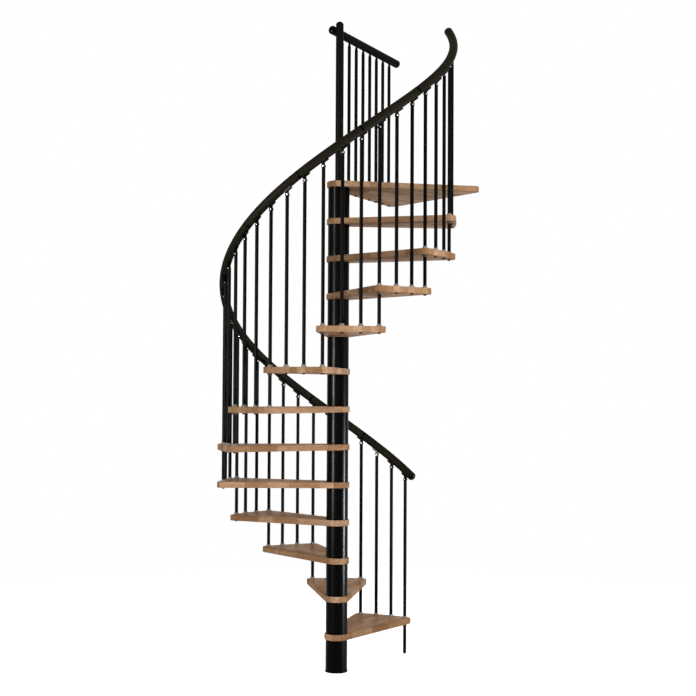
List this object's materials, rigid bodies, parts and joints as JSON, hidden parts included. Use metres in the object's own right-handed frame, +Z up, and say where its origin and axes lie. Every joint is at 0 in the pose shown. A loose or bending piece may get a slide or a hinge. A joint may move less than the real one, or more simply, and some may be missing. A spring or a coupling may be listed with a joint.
{
  "type": "spiral staircase",
  "caption": "Spiral staircase with wedge treads on a black centre column, slim balusters, a helical handrail and a wooden landing with a guard rail.",
  "frame": {"origin": "centre of the underside of the foot plate, on the floor, on the column axis", "axes": "+Z up the column; -Y is the side the stair is looked at from; +X is to the right of that view"},
  "size_m": [1.5386, 1.5181, 3.8216],
  "materials": {
    "beech": "semi-gloss lacquered beech staves",
    "column_black": "satin black powder coat",
    "black_metal": "satin black powder coat",
    "handrail_black": "soft black sleeve over a steel core",
    "black_plastic": "satin",
    "grey_plastic": "satin grey",
    "bare_steel": "plain"
  },
  "bodies": {
    "root": {"foot_plate": "black_metal", "centre_pole": "bare_steel", "column_covers": "column_black", "tread_01": "beech", "tread_02": "beech", "tread_03": "beech", "tread_04": "beech", "tread_05": "beech", "tread_06": "beech", "tread_07": "beech", "tread_08": "beech", "tread_09": "beech", "tread_10": "beech", "tread_11": "beech", "tread_12": "beech", "landing": "beech", "corner_balusters": "black_metal", "infill_balusters": "black_metal", "baluster_ferrules": "grey_plastic", "corner_collars": "grey_plastic", "baluster_nuts": "black_plastic", "floor_foot": "black_plastic", "handrail": "handrail_black", "handrail_joints": "black_plastic", "handrail_caps": "black_plastic", "handrail_brackets": "black_plastic", "landing_post": "black_metal", "post_foot": "black_metal", "post_cap": "black_plastic", "landing_rail": "handrail_black", "landing_rail_caps": "black_plastic", "landing_balusters": "black_metal", "landing_ferrules": "grey_plastic", "landing_nuts": "black_plastic"}
  },
  "joints": []
}
